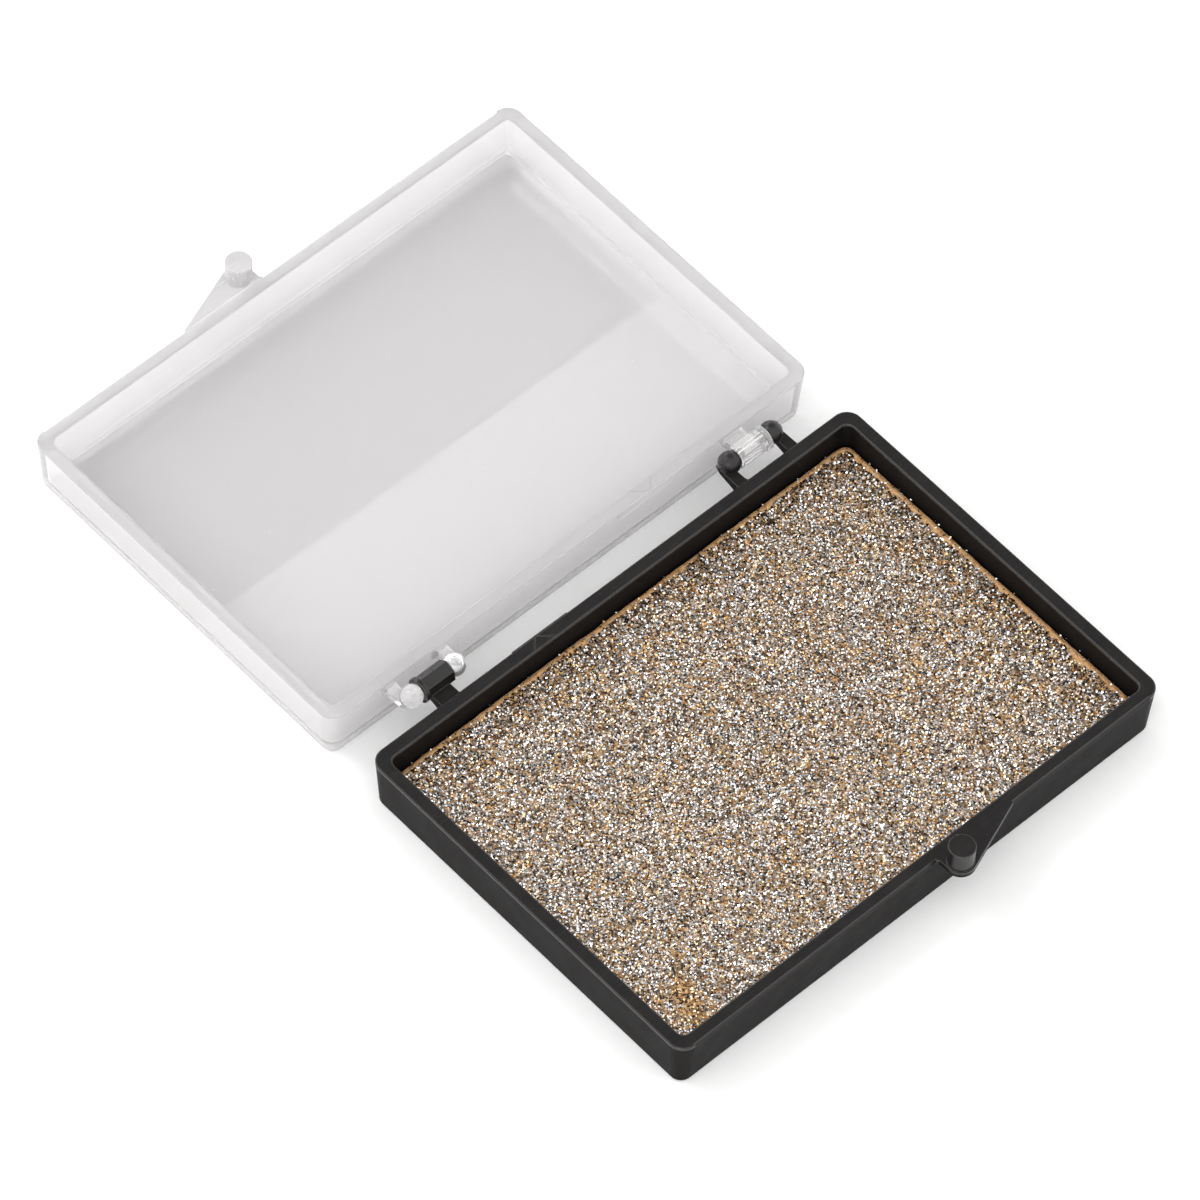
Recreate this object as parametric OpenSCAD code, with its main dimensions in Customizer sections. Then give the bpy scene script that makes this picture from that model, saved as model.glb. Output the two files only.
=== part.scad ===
// Ink pad in a hinged case, lying open.
// Two case halves share one moulded shape: the black one is the tray, the clear one is the lid.
// The lid is the tray turned half a turn about the upright line through the hinge.
// +X runs along the hinge, +Y from the latch side to the hinge side, +Z up.
// The origin is the middle of the tray's underside.

/* [Case] */
// Width of a case half, along the hinge
case_w = 96; // [84:1:120]
// Depth of a case half, from the latch side to the hinge side
case_d = 67.6; // [60:0.2:90]
// Height of a case half, half of the closed case
half_h = 10; // [9.5:0.5:14]
// Radius of the upright corners at the rim
corner_r = 2.6; // [2.2:0.1:4]
// How far a wall leans in between rim and underside
wall_draft = 0.7; // [0.2:0.1:1.2]
// Width of the flat rim
rim_w = 2.15; // [1.8:0.05:3]
// Thickness of the floor of a half
floor_t = 1.5; // [1.2:0.1:2]
// Radius of the hollow's upright corners at the rim
hollow_r = 1.3; // [1:0.1:2]
// How far a hollow's wall leans in between rim and floor
hollow_draft = 0.25; // [0:0.05:0.5]
// Chamfer along the rim's outer and inner edges
rim_chamfer = 0.16; // [0.1:0.02:0.3]
// Chamfer along the edge of the underside
foot_chamfer = 0.4; // [0.2:0.05:0.6]

/* [Hinge] */
// Distance from a half's hinge side to the hinge axis
hinge_reach = 4; // [3.6:0.1:5]
// Distance from the middle of the case to the middle of each hinge
hinge_x = 31.7; // [28:0.1:34]
// Radius of a hinge knob
knob_r = 1.85; // [1.7:0.05:2]
// Distance from the middle of a hinge to each knob's centre
knob_x = 4.2; // [4.1:0.05:4.4]
// Width of an ear's arm at the wall
arm_w = 1.95; // [1.8:0.05:2.4]
// Thickness of an ear's arm and of the barrel's neck, at the wall
arm_t = 2; // [1.6:0.1:2.2]
// Length of the barrel
barrel_l = 5.8; // [5.4:0.1:6]
// Radius of the barrel's six-sided bar, over its corners
barrel_r = 1.9; // [1.7:0.05:2]
// Width of the barrel's neck
neck_w = 3.6; // [3:0.1:3.8]
// Diameter of the pivot pin on each knob
pin_d = 1.3; // [1.1:0.1:1.5]

/* [Latch] */
// Radius of the latch post
post_r = 2.1; // [1.6:0.1:2.3]
// Height of the latch post above the rim
post_h = 3.8; // [3.2:0.1:5]
// Gap between a post and the other half's closed wall
post_gap = 0.1; // [0.08:0.02:0.3]
// Distance from the middle of the case to the thumb tab's square end
tab_x = 2.55; // [2:0.05:4]
// Length of the thumb tab along the wall
tab_l = 15; // [12:0.5:18]
// Thickness of the thumb tab
tab_t = 1; // [0.8:0.1:1.6]

/* [Pad and label] */
// Depth of the pad's face below the rim
pad_recess = 3.5; // [3:0.1:4.5]
// Gap between the pad and the tray's walls
pad_gap = 0.35; // [0.2:0.05:0.8]
// Thickness of the glitter layer on the pad
glitter_t = 0.5; // [0.3:0.1:0.8]
// Width of the bare foam around the glitter layer
bare_edge = 0.7; // [0.4:0.1:1.2]
// Thickness of the adhesive sheet under the pad
adhesive_t = 0.2; // [0.1:0.05:0.4]
// Width of the label, along the hinge
label_w = 89.4; // [70:0.2:90]
// Depth of the label
label_d = 33.4; // [25:0.2:40]
// Thickness of the label
label_t = 0.18; // [0.1:0.02:0.24]

/* [Hidden] */

$fn = 96;
overlap = 0.6;                        // how far joined solids run into each other
clear = 0.05;                         // radial clearance in the hinge
rim_gap = 0.06;                       // gap left between the rims when the case is shut
pin_reach = 1;                        // how far a pivot pin stands out of its knob
arm_drop = 0.45;                      // flat top of an arm and of the neck, below the hinge axis
seat_reach = 1.2;                     // how far they run past the axis
arm_thin = 0.75;                      // how much thinner they are under the axis than at the wall
arm_taper = 0.15;                     // how much they narrow on each side towards the end
arm_gap = 1.2;                        // from the barrel's end to an arm's inner side
arm_x = barrel_l / 2 + arm_gap + arm_w / 2;
bar_turn = 10;                        // the six-sided bar's top ridge leans back by this angle
collar_t = 0.7;                       // round collar at the barrel's outer end
collar_r = barrel_r + 0.18;
slot_fillet = 0.6;                    // fillet in the slot's round corner
neck_fillet = 0.2;                    // fillet at the other sides of an arm
pin_point = 0.4;                      // length of a pin's pointed end
bevel_in = 0.35;                      // long bevel on the latch-side edge, inwards
bevel_down = 0.6;                     // the same bevel, downwards
tab_tip_r = post_r + 0.25;
tab_fillet = 0.3;
post_chamfer = 0.1;
gate_w = 10.8;                        // gate mark on the hinge-side edge
gate_x = -14.2;
gate_out = 0.16;
gate_t = 1.4;
scribe_w = 0.16;                      // fine groove across the rim beside the gate mark
scribe_x = [-17.2, -12.6];
recess_margin = 1.8;                  // border round the label's recess, from the outer face's edge
recess_t = 0.3;
label_r = 1;
label_inset = 0.5;                    // label's far edge from the recess's wall
pad_r = 1;

axis_y = case_d / 2 + hinge_reach;
axis_z = half_h + rim_gap / 2;
front_y = -case_d / 2;
post_x = tab_x + tab_tip_r;
post_y = front_y - post_gap - post_r;
lean = wall_draft + foot_chamfer;
outer_w = case_w - 2 * lean;          // underside of a half
outer_d = case_d - 2 * lean;
hollow_w = case_w - 2 * rim_w;
hollow_d = case_d - 2 * rim_w;
pad_w = hollow_w - 2 * hollow_draft - 2 * pad_gap;
pad_d = hollow_d - 2 * hollow_draft - 2 * pad_gap;
pad_top = half_h - pad_recess;
foam_bottom = floor_t + adhesive_t;
recess_w = outer_w - 2 * recess_margin;
recess_d = outer_d - 2 * recess_margin;

// Block with round upright corners whose size changes evenly from z = 0 to z = h.
// w, d and r belong to the top; grow is how much further out the bottom is on every side.
module tapered_block(w, d, h, r, grow) {
    across_x = w / 2 - r;
    across_y = d / 2 - r;
    rotate([90, 0, 90])
        linear_extrude(height = 2 * across_x, center = true)
            polygon([[-d / 2 - grow, 0], [d / 2 + grow, 0], [d / 2, h], [-d / 2, h]]);
    rotate([90, 0, 0])
        linear_extrude(height = 2 * across_y, center = true)
            polygon([[-w / 2 - grow, 0], [w / 2 + grow, 0], [w / 2, h], [-w / 2, h]]);
    for (x = [-across_x, across_x], y = [-across_y, across_y])
        translate([x, y, 0])
            cylinder(h = h, r1 = r + grow, r2 = r);
}

// Flat plate with round corners, standing on z = 0.
module round_plate(w, d, h, r) {
    translate([0, 0, h / 2]) {
        cube([w - 2 * r, d, h], center = true);
        cube([w, d - 2 * r, h], center = true);
    }
    for (x = [-w / 2 + r, w / 2 - r], y = [-d / 2 + r, d / 2 - r])
        translate([x, y, 0])
            cylinder(h = h, r = r);
}

// Outer shape of a half, with chamfered edges at the underside and the rim.
module half_outside() {
    below = half_h - rim_chamfer;
    tapered_block(outer_w + 2 * foot_chamfer, outer_d + 2 * foot_chamfer, foot_chamfer,
                  corner_r - wall_draft, -foot_chamfer);
    translate([0, 0, foot_chamfer])
        tapered_block(case_w, case_d, below - foot_chamfer, corner_r, -wall_draft);
    translate([0, 0, below])
        tapered_block(case_w - 2 * rim_chamfer, case_d - 2 * rim_chamfer, rim_chamfer,
                      corner_r - rim_chamfer, rim_chamfer);
}

// Space inside a half, open at the rim, with a chamfered mouth.
module half_hollow() {
    mouth = half_h - rim_chamfer;
    translate([0, 0, floor_t])
        tapered_block(hollow_w, hollow_d, half_h - floor_t + overlap, hollow_r, -hollow_draft);
    translate([0, 0, mouth])
        tapered_block(hollow_w + 4 * rim_chamfer, hollow_d + 4 * rim_chamfer, 2 * rim_chamfer,
                      hollow_r + 2 * rim_chamfer, -2 * rim_chamfer);
}

// Long bevel along the latch-side edge, between two x places.
module front_bevel(x_from, x_to) {
    translate([(x_from + x_to) / 2, front_y, half_h])
        rotate([90, 0, 90])
            linear_extrude(height = x_to - x_from, center = true)
                polygon([[bevel_in, 0], [bevel_in, 1], [-1, 1], [-1, -bevel_down], [0, -bevel_down]]);
}

// Fine groove across the hinge-side rim, slanted to one side.
module rim_scribe(x_in) {
    x_out = gate_x - 1;
    slant = x_in - x_out;
    run = sqrt(slant * slant + rim_w * rim_w);
    translate([x_out, case_d / 2, half_h])
        rotate([0, 0, -90 + atan2(slant, rim_w)])
            translate([0, -scribe_w / 2, -scribe_w])
                cube([run, scribe_w, 1]);
}

// Concave fillet of radius r in the corner at the origin, filling towards +X and -Y.
module corner_fillet(r, t) {
    linear_extrude(height = t)
        difference() {
            translate([-overlap, -r])
                square([r + overlap, r + overlap]);
            translate([r, -r])
                circle(r = r);
        }
}

// Thumb tab with a round tip, and the latch post standing on it.
module latch() {
    reach = norm([tab_x + tab_l - post_x, front_y - post_y]);
    toward = atan2(front_y - post_y, tab_x + tab_l - post_x);
    last = toward - acos(tab_tip_r / reach);
    steps = 24;
    tip = [for (i = [0:steps]) let (a = -180 + (last + 180) * i / steps)
        [post_x + tab_tip_r * cos(a), post_y + tab_tip_r * sin(a)]];
    outline = concat([[tab_x, front_y + 1]], tip,
                     [[tab_x + tab_l, front_y], [tab_x + tab_l, front_y + 1]]);
    translate([0, 0, half_h - tab_t])
        linear_extrude(height = tab_t)
            polygon(outline);
    translate([tab_x, front_y, half_h - tab_t])
        mirror([1, 0, 0])
            corner_fillet(tab_fillet, tab_t);
    translate([post_x, post_y, half_h - tab_t])
        cylinder(h = tab_t + post_h - post_chamfer, r = post_r);
    translate([post_x, post_y, half_h + post_h - post_chamfer])
        cylinder(h = post_chamfer, r1 = post_r, r2 = post_r - post_chamfer);
}

// Flat-topped arm that carries a knob or the barrel, thinner and narrower towards its end.
module hinge_seat(w_wall, w_end) {
    wall = -hinge_reach - overlap;
    top = -arm_drop;
    thin = arm_t - arm_thin;
    intersection() {
        rotate([90, 0, 90])
            linear_extrude(height = w_wall, center = true)
                polygon([[wall, top - arm_t], [wall, top], [seat_reach, top],
                         [seat_reach - 0.45, top - 0.56 * thin], [seat_reach - 1.1, top - 0.88 * thin],
                         [-seat_reach / 2, top - thin], [1.1 - hinge_reach, top - arm_t + 0.25]]);
        translate([0, 0, top - arm_t])
            linear_extrude(height = arm_t)
                polygon([[-w_wall / 2, wall], [w_wall / 2, wall],
                         [w_end / 2, seat_reach], [-w_end / 2, seat_reach]]);
    }
}

// Pivot pin with a blunt point, from a knob's centre towards -X.
module pivot_pin() {
    reach = knob_r + pin_reach;
    rotate([0, -90, 0]) {
        cylinder(h = reach - pin_point, r = pin_d / 2);
        translate([0, 0, reach - pin_point])
            cylinder(h = pin_point, r1 = pin_d / 2, r2 = pin_d / 5);
    }
}

// The ear on the +X end of a hinge: an arm, a round knob and a pin that points at the barrel.
// slot_r is the fillet on the arm's inner side.
module ear(slot_r) {
    translate([arm_x, axis_y, axis_z])
        hinge_seat(arm_w, arm_w - 2 * arm_taper);
    translate([knob_x, axis_y, axis_z]) {
        sphere(r = knob_r);
        pivot_pin();
    }
    translate([arm_x, case_d / 2, axis_z - arm_drop - arm_t])
        mirror([0, 1, 0]) {
            translate([arm_w / 2, 0, 0])
                corner_fillet(neck_fillet, arm_t);
            translate([-arm_w / 2, 0, 0])
                mirror([1, 0, 0])
                    corner_fillet(slot_r, arm_t);
        }
}

// Barrel: a six-sided bar on a neck, drilled for the pivot pins and dished for the knobs.
module barrel() {
    difference() {
        union() {
            translate([0, axis_y, axis_z])
                rotate([-bar_turn, 0, 0])
                    rotate([0, 90, 0])
                        cylinder(h = barrel_l, r = barrel_r, center = true, $fn = 6);
            translate([-barrel_l / 2, axis_y, axis_z])
                rotate([0, 90, 0])
                    cylinder(h = collar_t, r = collar_r);
            translate([0, axis_y, axis_z])
                hinge_seat(neck_w, neck_w - 2 * arm_taper);
        }
        translate([0, axis_y, axis_z])
            rotate([0, 90, 0])
                cylinder(h = 2 * barrel_l, r = pin_d / 2 + clear, center = true);
        for (side = [-1, 1])
            translate([side * knob_x, axis_y, axis_z])
                sphere(r = knob_r + clear);
    }
}

// One half of the case, as the tray lies: hinge on +Y, latch on -Y.
module case_half() {
    difference() {
        half_outside();
        half_hollow();
        front_bevel(-case_w / 2 + corner_r, tab_x - tab_fillet);
        front_bevel(tab_x + tab_l, case_w / 2 - corner_r);
        for (x = scribe_x)
            rim_scribe(x);
    }
    latch();
    translate([gate_x - gate_w / 2, case_d / 2 - overlap, half_h - gate_t - rim_chamfer])
        cube([gate_w, overlap + gate_out, gate_t]);
    translate([hinge_x, 0, 0]) {
        ear(neck_fillet);
        mirror([1, 0, 0])
            ear(slot_fillet);
    }
    translate([-hinge_x, 0, 0])
        barrel();
}

// Places a half or a piece of it as the open lid.
module as_lid() {
    translate([0, 2 * axis_y, 0])
        rotate([0, 0, 180])
            children();
}

module base_tray() {
    color([0.12, 0.12, 0.125])
        case_half();
}

module pad_adhesive() {
    color([0.93, 0.9, 0.8])
        translate([0, 0, floor_t])
            round_plate(pad_w - 2, pad_d - 2, adhesive_t, pad_r);
}

module pad_foam() {
    color([0.6, 0.4, 0.22])
        translate([0, 0, foam_bottom])
            round_plate(pad_w, pad_d, pad_top - glitter_t - foam_bottom, pad_r);
}

module glitter_layer() {
    color([0.75, 0.68, 0.6])
        translate([0, 0, pad_top - glitter_t])
            round_plate(pad_w - 2 * bare_edge, pad_d - 2 * bare_edge, glitter_t, pad_r);
}

module lid() {
    color([0.9, 0.92, 0.93, 0.35])
        as_lid()
            difference() {
                case_half();
                translate([0, 0, -1])
                    round_plate(recess_w, recess_d, recess_t + 1, label_r + label_inset);
            }
}

module lid_label() {
    color([0.86, 0.86, 0.86])
        as_lid()
            translate([0, (label_d - recess_d) / 2 + label_inset, recess_t - label_t])
                round_plate(label_w, label_d, label_t, label_r);
}

base_tray();
pad_adhesive();
pad_foam();
glitter_layer();
lid();
lid_label();
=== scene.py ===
"""Ink pad in a hinged case: black tray with a glitter-faced foam pad, and a clear lid with a label."""
import math

import bpy
import numpy as np
from mathutils import Matrix, Vector, noise


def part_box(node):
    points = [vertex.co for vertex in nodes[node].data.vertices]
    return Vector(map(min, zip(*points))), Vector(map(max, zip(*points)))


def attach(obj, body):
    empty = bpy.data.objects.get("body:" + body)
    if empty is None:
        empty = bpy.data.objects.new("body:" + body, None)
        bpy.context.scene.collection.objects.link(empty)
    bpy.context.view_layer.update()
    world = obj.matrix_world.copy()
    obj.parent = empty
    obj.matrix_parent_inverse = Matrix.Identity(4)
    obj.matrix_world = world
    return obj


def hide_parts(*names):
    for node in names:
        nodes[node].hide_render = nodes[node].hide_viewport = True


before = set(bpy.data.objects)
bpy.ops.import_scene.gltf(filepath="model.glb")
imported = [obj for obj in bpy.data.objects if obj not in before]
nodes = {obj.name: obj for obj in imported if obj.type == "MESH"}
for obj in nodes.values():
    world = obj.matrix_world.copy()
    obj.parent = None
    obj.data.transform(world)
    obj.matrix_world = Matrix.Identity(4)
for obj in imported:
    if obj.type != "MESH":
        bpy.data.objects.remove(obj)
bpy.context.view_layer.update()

MM = 0.001
half_height = 10 * MM                 # of each half of the case, up to its rim
near_wall = 41.8 * MM                 # outer face of the open lid's hinge-side wall, in Y
far_wall = 109.4 * MM                 # outer face of its far wall
plate_top = 1.6 * MM                  # inner face of the lid's plate


# ---------------------------------------------------------------- shader helpers

class Shader:
    """A node material under construction. Textures read the object's own coordinates, in metres."""

    def __init__(self, name):
        self.material = bpy.data.materials.new(name)
        self.material.use_nodes = True
        self.tree = self.material.node_tree
        self.tree.nodes.clear()
        self.output = self.add("ShaderNodeOutputMaterial")
        self.bsdf = self.add("ShaderNodeBsdfPrincipled")
        self.tree.links.new(self.bsdf.outputs[0], self.output.inputs["Surface"])
        self.place = self.add("ShaderNodeTexCoord").outputs["Object"]

    def add(self, kind, inputs=None, **settings):
        made = self.tree.nodes.new(kind)
        for key, value in settings.items():
            setattr(made, key, value)
        for key, value in (inputs or {}).items():
            self.put(made.inputs[key], value)
        return made

    def put(self, socket, value):
        if isinstance(value, bpy.types.NodeSocket):
            self.tree.links.new(value, socket)
        else:
            socket.default_value = value

    def set(self, **inputs):
        for key, value in inputs.items():
            self.put(self.bsdf.inputs[key.replace("_", " ")], value)

    def noise(self, scale, detail, rough=0.55, place=None):
        return self.add("ShaderNodeTexNoise", {"Vector": place or self.place, "Scale": scale,
                                               "Detail": detail, "Roughness": rough}).outputs["Fac"]

    def cells(self, scale):
        """Distance to the nearest of many scattered points."""
        return self.add("ShaderNodeTexVoronoi", {"Vector": self.place, "Scale": scale}).outputs["Distance"]

    def stretched(self, x, y, z, turn):
        return self.add("ShaderNodeMapping", {"Vector": self.place, "Scale": (x, y, z),
                                              "Rotation": (0, 0, turn)}).outputs[0]

    def remap(self, value, low, high, to_low=0.0, to_high=1.0):
        return self.add("ShaderNodeMapRange", {"Value": value, "From Min": low, "From Max": high,
                                               "To Min": to_low, "To Max": to_high}).outputs[0]

    def math(self, kind, a, b):
        return self.add("ShaderNodeMath", {0: a, 1: b}, operation=kind).outputs[0]

    def mix(self, factor, a, b):
        return self.add("ShaderNodeMix", {0: factor, 6: a, 7: b}, data_type="RGBA").outputs[2]

    def bump(self, height, distance, strength, normal=None):
        made = self.add("ShaderNodeBump", {"Height": height, "Distance": distance, "Strength": strength})
        if normal is not None:
            self.put(made.inputs["Normal"], normal)
        return made.outputs[0]

    def round_edges(self, radius):
        return self.add("ShaderNodeBevel", {"Radius": radius}, samples=6).outputs[0]

    def edge_mask(self, rounded):
        """1 along sharp edges and 0 on flats, from how far the rounded normal leaves the true one."""
        true_normal = self.add("ShaderNodeNewGeometry").outputs["True Normal"]
        agreement = self.add("ShaderNodeVectorMath", {0: rounded, 1: true_normal}, operation="DOT_PRODUCT")
        return self.remap(agreement.outputs["Value"], 0.9, 0.995, 1.0, 0.0)


def grey(value):
    return (value, value, value, 1.0)


# ---------------------------------------------------------------- materials

def black_plastic():
    """Glossy from the rim's flat top upwards, and duller below it."""
    s = Shader("black plastic")
    rounded = s.round_edges(0.13 * MM)
    edge = s.edge_mask(rounded)
    cloudy = s.noise(260, 4)
    grain = s.noise(5200, 2)
    dust = s.math("MULTIPLY", s.remap(s.cells(900), 0.03, 0.06, 1.0, 0.0),
                  s.remap(s.noise(700, 1), 0.52, 0.58))
    scratches = s.remap(s.noise(900, 2, 0.6, s.stretched(0.16, 7, 2, 0.5)), 0.60, 0.68)
    height = s.add("ShaderNodeSeparateXYZ", {0: s.place}).outputs["Z"]
    polished = s.remap(height, half_height - 0.7 * MM, half_height - 0.2 * MM)
    base = s.mix(cloudy, (0.0062, 0.0058, 0.0058, 1), (0.0118, 0.0104, 0.0099, 1))
    base = s.mix(s.math("MULTIPLY", scratches, 0.14), base, (0.050, 0.047, 0.046, 1))
    # Sharp edges are lightened towards grey: painted highlight.
    base = s.mix(s.math("MULTIPLY", edge, 0.6), base, (0.14, 0.134, 0.130, 1))
    base = s.mix(s.math("MULTIPLY", dust, 0.5), base, (0.22, 0.20, 0.18, 1))
    rough = s.math("ADD", s.remap(cloudy, 0.3, 0.7, 0.24, 0.34), s.math("MULTIPLY", scratches, 0.12))
    rough = s.math("SUBTRACT", s.math("ADD", rough, 0.12), s.math("MULTIPLY", polished, 0.14))
    normal = s.bump(s.noise(2100, 3), 0.012 * MM, 0.5, rounded)
    normal = s.bump(grain, 0.006 * MM, 0.5, normal)
    s.set(Specular_IOR_Level=0.2)      # stands where the level that varies below isn't read
    s.set(Base_Color=base, Roughness=rough, Normal=normal, IOR=1.5,
          Specular_IOR_Level=s.remap(polished, 0.0, 1.0, 0.03, 0.42))
    return s.material


def clear_plastic():
    """Slightly milky: clearest in the hinge's knobs and barrel, and frosted on the thumb tab and post, which
    are also tinted darker as painted shade; the plate is tinted lighter as painted light.
    """
    s = Shader("clear plastic")
    rounded = s.round_edges(0.10 * MM)
    specks = s.math("MULTIPLY", s.remap(s.cells(650), 0.02, 0.05, 1.0, 0.0),
                    s.remap(s.noise(410, 1), 0.57, 0.62))
    scratches = s.remap(s.noise(700, 2, 0.6, s.stretched(0.12, 6, 2, -0.4)), 0.63, 0.70)
    haze = s.noise(60, 3, 0.5)
    split = s.add("ShaderNodeSeparateXYZ", {0: s.place})
    height, depth = split.outputs["Z"], split.outputs["Y"]
    plate = s.remap(height, plate_top, plate_top + 1.0 * MM, 1.0, 0.0)     # 1 on the flat plate
    tab = s.remap(depth, far_wall + 0.05 * MM, far_wall + 0.4 * MM)        # 1 on the thumb tab and post
    hinge = s.remap(depth, near_wall - 0.05 * MM, near_wall - 0.3 * MM)    # 1 on the knobs and barrel
    rough = s.math("ADD", s.remap(hinge, 0.0, 1.0, 0.05, 0.02), s.math("MULTIPLY", tab, 0.22))
    rough = s.math("ADD", rough, s.math("ADD", s.math("MULTIPLY", specks, 0.35),
                                        s.math("MULTIPLY", scratches, 0.10)))
    tint = s.mix(haze, (0.875, 0.865, 0.870, 1), (0.910, 0.902, 0.906, 1))
    # The plate is tinted lighter and made slightly less clear: painted light against the shade under the
    # lid.
    tint = s.mix(plate, tint, (0.965, 0.955, 0.960, 1))
    # The thumb tab and post are tinted darker: painted shade.
    tint = s.mix(tab, tint, (0.655, 0.645, 0.650, 1))
    tint = s.mix(hinge, tint, (0.960, 0.955, 0.957, 1))
    tint = s.mix(specks, tint, (0.72, 0.71, 0.70, 1))
    clear = s.math("SUBTRACT", s.remap(hinge, 0.0, 1.0, 0.72, 0.82), s.math("MULTIPLY", plate, 0.06))
    # The lower transmission on the tab and post adds to that painted shade, besides their real extra
    # roughness.
    s.set(Base_Color=tint, Roughness=rough, Normal=s.bump(haze, 0.03 * MM, 0.2, rounded), IOR=1.49,
          Transmission_Weight=s.math("SUBTRACT", clear, s.math("MULTIPLY", tab, 0.37)))
    return s.material


def label_paper():
    """Pale grey paper with fine fibres."""
    s = Shader("label paper")
    fibres = s.noise(2600, 5, 0.7, s.stretched(1, 0.45, 1, 0.3))
    mottle = s.noise(210, 3)
    base = s.mix(mottle, (0.50, 0.50, 0.505, 1), (0.55, 0.55, 0.555, 1))
    base = s.mix(s.math("MULTIPLY", fibres, 0.25), base, (0.43, 0.43, 0.43, 1))
    s.set(Base_Color=base, Roughness=s.remap(fibres, 0.3, 0.7, 0.50, 0.72), IOR=1.45,
          Normal=s.bump(fibres, 0.02 * MM, 0.6))
    return s.material


def adhesive_sheet():
    """Yellowish, faintly cloudy film."""
    s = Shader("adhesive sheet")
    cloudy = s.noise(300, 3)
    s.set(Base_Color=s.mix(cloudy, (0.72, 0.66, 0.50, 1), (0.80, 0.76, 0.62, 1)),
          Roughness=s.remap(cloudy, 0.3, 0.7, 0.35, 0.6), Normal=s.bump(s.noise(1800, 3), 0.03 * MM, 0.5))
    return s.material


def orange_foam():
    """Orange-brown and blotchy, with painted shadow in its pores."""
    s = Shader("orange foam")
    pores = s.cells(2600)
    fine = s.noise(4200, 3, 0.6)
    blotch = s.noise(170, 3)
    grain = s.noise(1500, 3, 0.6)
    base = s.mix(blotch, (0.62, 0.34, 0.14, 1), (0.80, 0.51, 0.26, 1))
    base = s.mix(s.remap(grain, 0.50, 0.64), base, (0.46, 0.22, 0.075, 1))
    # The pores are darkened: painted shadow in the pits.
    base = s.mix(s.remap(pores, 0.08, 0.24, 0.6, 0.0), base, (0.10, 0.05, 0.02, 1))
    height = s.math("ADD", s.remap(pores, 0.0, 0.4), s.math("MULTIPLY", fine, 0.6))
    s.set(Base_Color=base, Roughness=s.remap(fine, 0.3, 0.7, 0.55, 0.9),
          Normal=s.bump(height, 0.12 * MM, 0.8))
    return s.material


def glitter():
    """Shiny flakes, each in its own colour from the mesh."""
    s = Shader("glitter")
    tone = s.add("ShaderNodeAttribute", attribute_name="tone", attribute_type="GEOMETRY")
    fine = s.noise(9000, 2)
    base = s.mix(s.math("MULTIPLY", fine, 0.3), tone.outputs["Color"], grey(0.25))
    s.set(Base_Color=base, Metallic=1.0, Roughness=s.remap(fine, 0.3, 0.7, 0.16, 0.34),
          Normal=s.bump(fine, 0.01 * MM, 0.4))
    return s.material


def floor_paper():
    """Matte white, for the floor."""
    s = Shader("floor")
    fine = s.noise(500, 3)
    s.set(Base_Color=s.mix(fine, grey(0.90), grey(0.93)), Roughness=s.remap(fine, 0.3, 0.7, 0.6, 0.75),
          Normal=s.bump(fine, 0.02 * MM, 0.2), Specular_IOR_Level=0.2)
    return s.material


def dress(obj, material):
    obj.data.materials.clear()
    obj.data.materials.append(material)


def smooth(obj):
    """Smooth shading with creases kept at sharp edges."""
    obj.data.polygons.foreach_set("use_smooth", [True] * len(obj.data.polygons))
    obj.data.set_sharp_from_angle(angle=math.radians(30))


# ---------------------------------------------------------------- mesh helpers

def new_mesh(name, points, faces, shade_smooth=True):
    mesh = bpy.data.meshes.new(name)
    mesh.from_pydata([tuple(p) for p in points], [], faces)
    mesh.update()
    if shade_smooth:
        mesh.polygons.foreach_set("use_smooth", [True] * len(mesh.polygons))
    made = bpy.data.objects.new(name, mesh)
    bpy.context.scene.collection.objects.link(made)
    return made


def lump(x, y, size, seed):
    """Smooth noise from -1 to 1 over a plane, with lumps of about that size. Each use has its own seed."""
    return noise.noise(Vector((x / size, y / size, seed)))


def swell(x, y):
    """The foam's broad unevenness from -1 to 1, which the flakes follow."""
    return lump(x, y, 9 * MM, 3.1)


def round_corner(x, y, half_x, half_y, radius):
    """Draws the corners of a square grid of points in to a rounded rectangle's corners."""
    over_x, over_y = abs(x) - (half_x - radius), abs(y) - (half_y - radius)
    if over_x <= 0 or over_y <= 0:
        return x, y
    squeeze = max(over_x, over_y) / math.hypot(over_x, over_y)
    return (math.copysign(half_x - radius + over_x * squeeze, x),
            math.copysign(half_y - radius + over_y * squeeze, y))


def grid_border(across, deep):
    """Column and row of each point round a grid's border, anticlockwise from the first corner."""
    return ([(i, 0) for i in range(across)] + [(across, j) for j in range(deep)]
            + [(i, deep) for i in range(across, 0, -1)] + [(0, j) for j in range(deep, 0, -1)])


# ---------------------------------------------------------------- foam pad

FOAM_STEP = 0.7 * MM                  # mesh spacing
FOAM_CORNER = 1.6 * MM
EDGE_IN = 0.105 * MM                  # how far the cut edge is drawn in at the face
EDGE_DROP = 0.175 * MM                # how far the face drops at its edge
EDGE_WIDTH = 0.9 * MM                 # how far from the edge the drop starts
SIDE_TOP = 0.12 * MM                  # where the side starts, below the face
SIDE_RINGS = (0.12, 0.35, 0.65, 1.0)  # rings of points down the side, as shares of its height


def foam_height(x, y, top):
    """Face of the foam: nearly flat, with a cut surface's small hollows."""
    return top + 0.10 * MM * swell(x, y) + 0.06 * MM * lump(x, y, 1.7 * MM, 8.7) - 0.05 * MM


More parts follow.
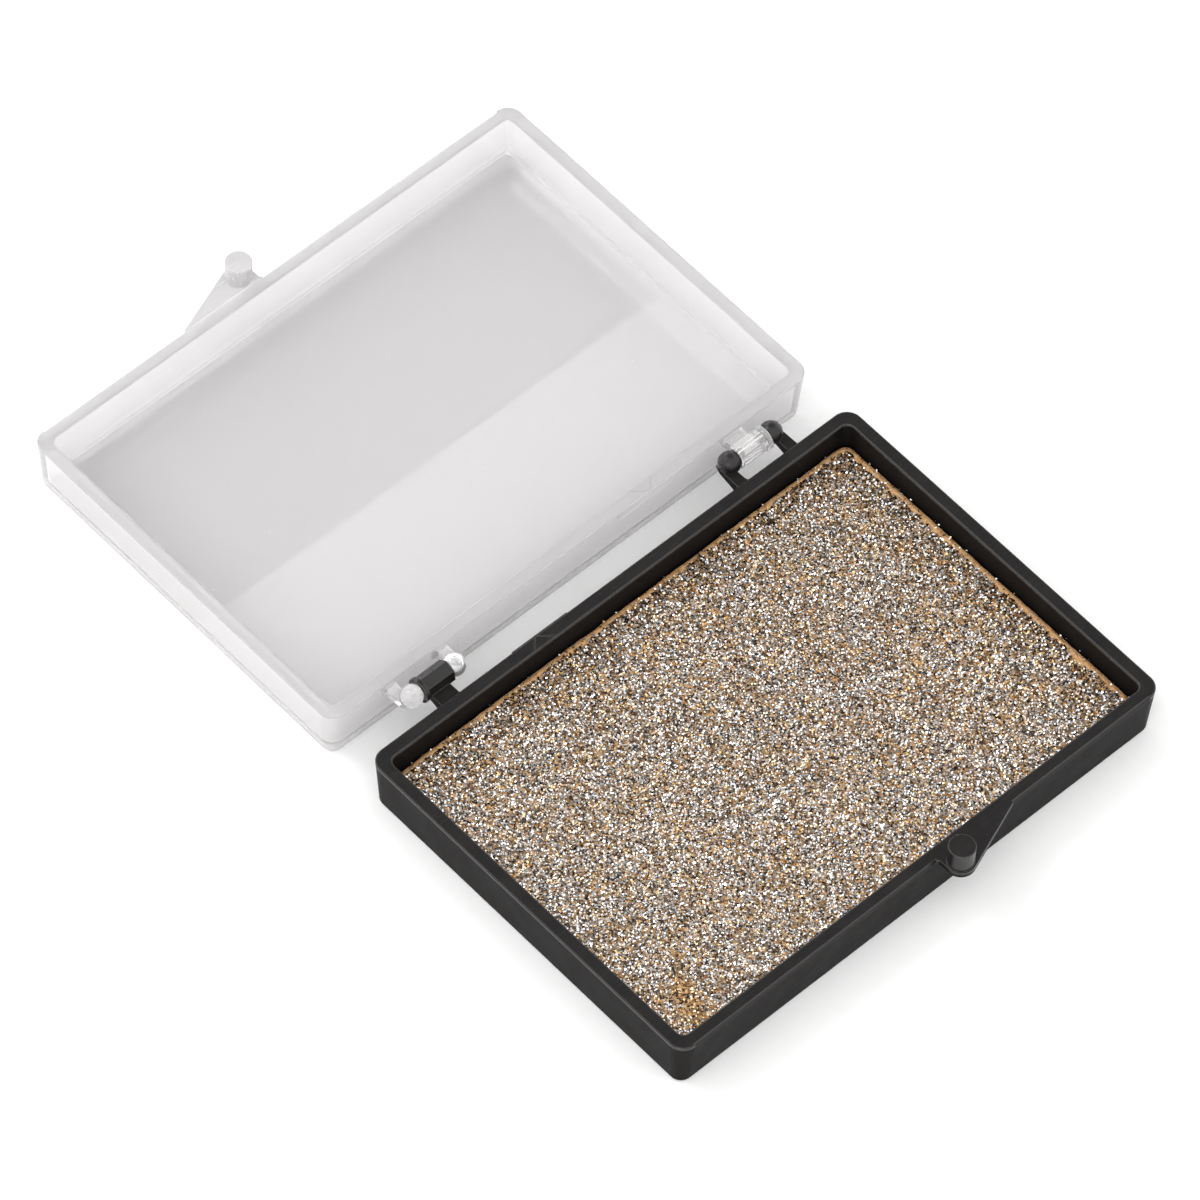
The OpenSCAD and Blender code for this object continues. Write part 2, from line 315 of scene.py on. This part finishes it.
def foam_pad():
    lo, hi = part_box("pad_foam")
    across = int(round((hi.x - lo.x) / FOAM_STEP))
    deep = int(round((hi.y - lo.y) / FOAM_STEP))
    centre = (lo + hi) / 2
    half_x, half_y = (hi.x - lo.x) / 2, (hi.y - lo.y) / 2

    def outline(u, v, inset):
        """Point of the pad's grid for u and v from -1 to 1, with a slightly wavy cut edge."""
        x, y = round_corner(u * half_x, v * half_y, half_x, half_y, FOAM_CORNER)
        edge = max(abs(u), abs(v))
        wave = 0.10 * MM * lump(x, y, 2.2 * MM, 5.5) + 0.07 * MM * lump(x, y, 0.9 * MM, 1.5)
        pull = (inset + wave) * max(0.0, edge * 12 - 11)
        return (centre.x + x - math.copysign(pull * abs(u) ** 6, u),
                centre.y + y - math.copysign(pull * abs(v) ** 6, v))

    points, faces, index = [], [], {}
    for j in range(deep + 1):
        for i in range(across + 1):
            u, v = 2 * i / across - 1, 2 * j / deep - 1
            x, y = outline(u, v, EDGE_IN)
            edge = min((1 - abs(u)) * half_x, (1 - abs(v)) * half_y)
            drop = EDGE_DROP * max(0.0, 1 - edge / EDGE_WIDTH) ** 2
            index[i, j] = len(points)
            points.append((x, y, foam_height(x, y, hi.z) - drop))
    for j in range(deep):
        for i in range(across):
            faces.append((index[i, j], index[i + 1, j], index[i + 1, j + 1], index[i, j + 1]))
    border = grid_border(across, deep)
    last = [index[k] for k in border]
    for depth in SIDE_RINGS:
        ring = []
        for i, j in border:
            x, y = outline(2 * i / across - 1, 2 * j / deep - 1, 0.0)
            x += 0.05 * MM * lump(y, depth, 0.8 * MM, 2.0)
            y += 0.05 * MM * lump(x, depth, 0.8 * MM, 6.0)
            ring.append(len(points))
            points.append((x, y, hi.z - SIDE_TOP + (lo.z - hi.z + SIDE_TOP) * depth))
        for k in range(len(border)):
            n = (k + 1) % len(border)
            faces.append((last[n], last[k], ring[k], ring[n]))
        last = ring
    faces.append(tuple(last))
    return new_mesh("foam_pad", points, faces)


# ---------------------------------------------------------------- glitter flakes

SILVER = (0.95, 0.97, 1.0)
PEARL = (1.0, 0.97, 0.92)
BRONZE = (0.72, 0.40, 0.15)
TAN = (0.95, 0.68, 0.38)
# Near-black brown for flakes that paint the shadow in the gaps between flakes and under the silver.
SHADOW_BROWN = (0.055, 0.033, 0.018)
ROW_GAP = 0.866                       # between staggered rows, as a share of the step along a row
JITTER = 0.22                         # how far flakes leave the even grid, as a share of the step
FLATTEST = 4                          # smallest tilt of a flake, in degrees
CORNERS = 4                           # of a flake


def glitter_flakes():
    """Thousands of tilted flakes in one mesh: a dull brown layer close to the foam, much of it near-black as
    painted shade under the silver, and silver over it.
    """
    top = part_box("glitter_layer")[1].z
    lo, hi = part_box("pad_foam")
    rng = np.random.default_rng(20)
    points, tones, faces = [], [], []

    def scatter(step, small, large, lowest, highest, steepest, colour_of):
        """One layer of flakes with radii from small to large, at heights over the foam's face."""
        across = int((hi.x - lo.x) / step)
        deep = int((hi.y - lo.y) / (step * ROW_GAP))
        for j in range(deep + 1):
            for i in range(across + 1):
                x = lo.x + (i + 0.5 * (j % 2)) * step + rng.normal(0, JITTER * step)
                y = lo.y + j * step * ROW_GAP + rng.normal(0, JITTER * step)
                size, turn, tilt, lean, lift, pick, keep, light = rng.random(8)
                spread = rng.random(CORNERS)
                tone = colour_of(x, y, lo, hi, pick, light, keep)
                if tone is None:
                    continue
                radius = small + (large - small) * size
                slope = math.radians(FLATTEST + steepest * tilt ** 1.2)
                normal = Vector((math.sin(slope) * math.cos(lean * math.tau),
                                 math.sin(slope) * math.sin(lean * math.tau), math.cos(slope)))
                side = normal.orthogonal().normalized()
                up = normal.cross(side)
                z = hi.z + lowest + (highest - lowest) * lift + 0.07 * MM * swell(x, y)
                faces.append(tuple(range(len(points), len(points) + CORNERS)))
                for k in range(CORNERS):
                    a = (turn + k / CORNERS + 0.10 * spread[k]) * math.tau
                    r = radius * (0.80 + 0.50 * spread[k])
                    p = Vector((x, y, z)) + side * (r * math.cos(a)) + up * (r * math.sin(a))
                    points.append((min(max(p.x, lo.x), hi.x), min(max(p.y, lo.y), hi.y), min(p.z, top)))
                    tones.append(tone)

    scatter(step=0.46 * MM, small=0.20 * MM, large=0.32 * MM, lowest=0.02 * MM, highest=0.10 * MM,
            steepest=18, colour_of=under_tone)
    scatter(step=0.345 * MM, small=0.12 * MM, large=0.215 * MM, lowest=0.14 * MM, highest=0.34 * MM,
            steepest=30, colour_of=over_tone)
    made = new_mesh("glitter_flakes", points, faces, shade_smooth=False)
    attribute = made.data.color_attributes.new("tone", "FLOAT_COLOR", "POINT")
    attribute.data.foreach_set("color", np.array(tones, np.float32).ravel())
    return made


def worn(x, y, lo):
    """1 in the worn patch near the latch-side left corner, falling to 0 around it."""
    dx, dy = (x - lo.x) / MM - 5.5, (y - lo.y) / MM - 4.5
    along, aside = dx * 0.35 + dy * 0.94, dx * 0.94 - dy * 0.35
    return math.exp(-(along / 5.5) ** 2 - (aside / 2.4) ** 2)


def bare(x, y, lo, hi):
    """True on the ragged strips of bare foam along the hinge side and the right side."""
    ragged = 0.35 * MM * lump(x, y, 1.3 * MM, 4.4) + 0.30 * MM * lump(x, y, 0.5 * MM, 2.4)
    return hi.y - y < 1.00 * MM + ragged or hi.x - x < 1.20 * MM + ragged * 1.4


def dullness(x, y, lo, hi):
    """How brown the glitter is: most near the hinge side, the right side and the corner between them."""
    near = 0.36 * math.exp(-(hi.y - y) / (2.4 * MM)) + 0.22 * math.exp(-(hi.x - x) / (2.0 * MM))
    corner = 0.16 * math.exp(-((hi.x - x) ** 2 + (hi.y - y) ** 2) / (7 * MM) ** 2)
    return min(1.0, near + corner)


def scaled(colour, level):
    return tuple(min(1.0, c * level) for c in colour) + (1.0,)


def under_tone(x, y, lo, hi, pick, light, keep):
    """Colour of a flake close to the foam: near-black brown as painted shade, bronze or tan, or none on bare
    foam.
    """
    if bare(x, y, lo, hi) or keep > 1.0 - 0.25 * worn(x, y, lo):
        return None
    # The near-black flakes here are painted shade under the silver.
    if pick < 0.45 + 0.2 * dullness(x, y, lo, hi):
        colour, level = SHADOW_BROWN, 0.2 + 1.2 * light
    elif pick < 0.80:
        colour, level = BRONZE, 0.40 + 0.80 * light
    else:
        colour, level = TAN, 0.45 + 0.6 * light
    return scaled(colour, level)


def over_tone(x, y, lo, hi, pick, light, keep):
    """Colour of a flake on top: mostly silver, whose wide spread of brightness is painted glint, some
    bronze, some near-black as painted shadow, or none.
    """
    if bare(x, y, lo, hi) and keep > 0.10:
        return None
    density = 0.97 + 0.34 * lump(x, y, 1.5 * MM, 1.2) + 0.20 * lump(x, y, 6 * MM, 9.2)
    if keep > density - 0.45 * worn(x, y, lo) - 0.30 * dullness(x, y, lo, hi):
        return None
    rust = 0.17 + 0.25 * lump(x, y, 3.5 * MM, 6.6) + 0.25 * lump(x, y, 1.2 * MM, 2.6) + 0.50 * worn(x, y, lo)
    # The near-black flakes here are painted shadow in the gaps between flakes.
    if pick < 0.13 + 0.25 * dullness(x, y, lo, hi) + 0.15 * worn(x, y, lo):
        colour, level = SHADOW_BROWN, 0.6 + 1.2 * light
    elif pick > 1 - rust:
        colour, level = (BRONZE if light < 0.5 else TAN), 0.60 + 0.65 * light
    else:
        # The wide spread in silver and pearl brightness is painted glint, for how each flake catches the
        # light, besides their real tilts.
        colour, level = (SILVER if pick < 0.50 else PEARL), 0.12 + 3.0 * light ** 1.5
    return scaled(colour, level)


# ---------------------------------------------------------------- label

LABEL_CORNER = 1.0 * MM
LABEL_TURN = math.radians(-0.35)
LABEL_LAYERS = (-0.045 * MM, -0.17 * MM)    # top and underside, from the top of the label's room


def label_sheet():
    """Paper label under the lid's plate, very slightly turned and wavy, with rounded corners."""
    lo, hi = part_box("lid_label")
    centre = (lo + hi) / 2
    half_x, half_y = (hi.x - lo.x) / 2 - 0.1 * MM, (hi.y - lo.y) / 2
    across, deep = 90, 34
    row = across + 1
    under = row * (deep + 1)          # index of the underside's first point
    points, faces = [], []
    for lift in LABEL_LAYERS:
        for j in range(deep + 1):
            for i in range(across + 1):
                x, y = (2 * i / across - 1) * half_x, (2 * j / deep - 1) * half_y
                x, y = round_corner(x, y, half_x, half_y, LABEL_CORNER)
                wave = 0.010 * MM * lump(x, y, 14 * MM, 7.7)
                points.append((centre.x + x * math.cos(LABEL_TURN) - y * math.sin(LABEL_TURN),
                               centre.y + x * math.sin(LABEL_TURN) + y * math.cos(LABEL_TURN),
                               hi.z + lift + wave))
    for j in range(deep):
        for i in range(across):
            a = j * row + i
            b = a + under
            faces.append((a, a + 1, a + row + 1, a + row))
            faces.append((b, b + row, b + row + 1, b + 1))
    border = [i + j * row for i, j in grid_border(across, deep)]
    for k, a in enumerate(border):
        b = border[(k + 1) % len(border)]
        faces.append((b, a, under + a, under + b))
    return new_mesh("label_sheet", points, faces, shade_smooth=False)


# ---------------------------------------------------------------- build

looks = {"base_tray": black_plastic(), "lid": clear_plastic(), "pad_adhesive": adhesive_sheet()}
for name, material in looks.items():
    dress(nodes[name], material)
    smooth(nodes[name])

foam = foam_pad()
dress(foam, orange_foam())
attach(foam, "base")
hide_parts("pad_foam")

flakes = glitter_flakes()
dress(flakes, glitter())
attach(flakes, "base")
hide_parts("glitter_layer")

label = label_sheet()
dress(label, label_paper())
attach(label, "lid_body")
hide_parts("lid_label")


# ---------------------------------------------------------------- stage, lights and camera

def stage():
    floor = new_mesh("floor", [(-3, -3, 0), (3, -3, 0), (3, 3, 0), (-3, 3, 0)], [(0, 1, 2, 3)])
    floor.location.z = -0.02 * MM
    dress(floor, floor_paper())


CASE_MIDDLE = Vector((0, 0.036, 0))   # of the open case


def soft_light(name, azimuth, elevation, distance, size, power):
    """A square soft light that looks at the object. Azimuth 0 is in front, 90 on the +X side."""
    a, e = math.radians(azimuth), math.radians(elevation)
    away = Vector((math.sin(a) * math.cos(e), -math.cos(a) * math.cos(e), math.sin(e)))
    lamp = bpy.data.lights.new(name, "AREA")
    lamp.shape = "SQUARE"
    lamp.size = size
    lamp.energy = power
    made = bpy.data.objects.new(name, lamp)
    made.location = CASE_MIDDLE + away * distance
    made.rotation_mode = "QUATERNION"
    made.rotation_quaternion = away.to_track_quat("Z", "Y")
    bpy.context.scene.collection.objects.link(made)


DARK_SIDE = (0.398, 0.402, 0.825)     # where the surroundings are darkest


def lights():
    """White surroundings with one darker side, which the flat black tops and level flakes mirror."""
    world = bpy.data.worlds.new("studio")
    world.use_nodes = True
    tree = world.node_tree
    background = tree.nodes["Background"]
    background.inputs["Color"].default_value = (1.0, 0.995, 0.99, 1)
    towards = tree.nodes.new("ShaderNodeVectorMath")
    towards.operation = "DOT_PRODUCT"
    towards.inputs[1].default_value = DARK_SIDE
    tree.links.new(tree.nodes.new("ShaderNodeTexCoord").outputs["Generated"], towards.inputs[0])
    strength = tree.nodes.new("ShaderNodeMapRange")
    strength.interpolation_type = "SMOOTHSTEP"
    for key, value in {"From Min": 0.78, "From Max": 0.96, "To Min": 1.50, "To Max": 0.42}.items():
        strength.inputs[key].default_value = value
    tree.links.new(towards.outputs["Value"], strength.inputs["Value"])
    tree.links.new(strength.outputs[0], background.inputs["Strength"])
    bpy.context.scene.world = world
    soft_light("key", azimuth=209, elevation=52, distance=1.0, size=0.28, power=1.8)
    soft_light("side", azimuth=300, elevation=35, distance=1.1, size=0.40, power=1.2)
    soft_light("back", azimuth=165, elevation=30, distance=1.2, size=0.40, power=1.2)


def camera():
    """The camera looks at the middle of the open case, from the front left and above."""
    azimuth, elevation, roll = math.radians(-44.763), math.radians(55.56), math.radians(2.917)
    target = Vector((0.001156, 0.037083, 0))
    distance = 1.48487
    away = Vector((math.cos(elevation) * math.sin(azimuth), -math.cos(elevation) * math.cos(azimuth),
                   math.sin(elevation)))
    right = (-away).cross(Vector((0, 0, 1))).normalized()
    up = right.cross(-away)
    side = right * math.cos(roll) + up * math.sin(roll)
    top = up * math.cos(roll) - right * math.sin(roll)
    lens = bpy.data.cameras.new("camera")
    lens.sensor_width = 36
    lens.lens = 300
    lens.clip_start, lens.clip_end = 0.01, 20
    made = bpy.data.objects.new("camera", lens)
    turned = Matrix((side, top, away)).transposed().to_4x4()
    made.matrix_world = Matrix.Translation(target + away * distance) @ turned
    bpy.context.scene.collection.objects.link(made)
    bpy.context.scene.camera = made


stage()
lights()
camera()
bpy.context.scene.view_settings.view_transform = "Standard"
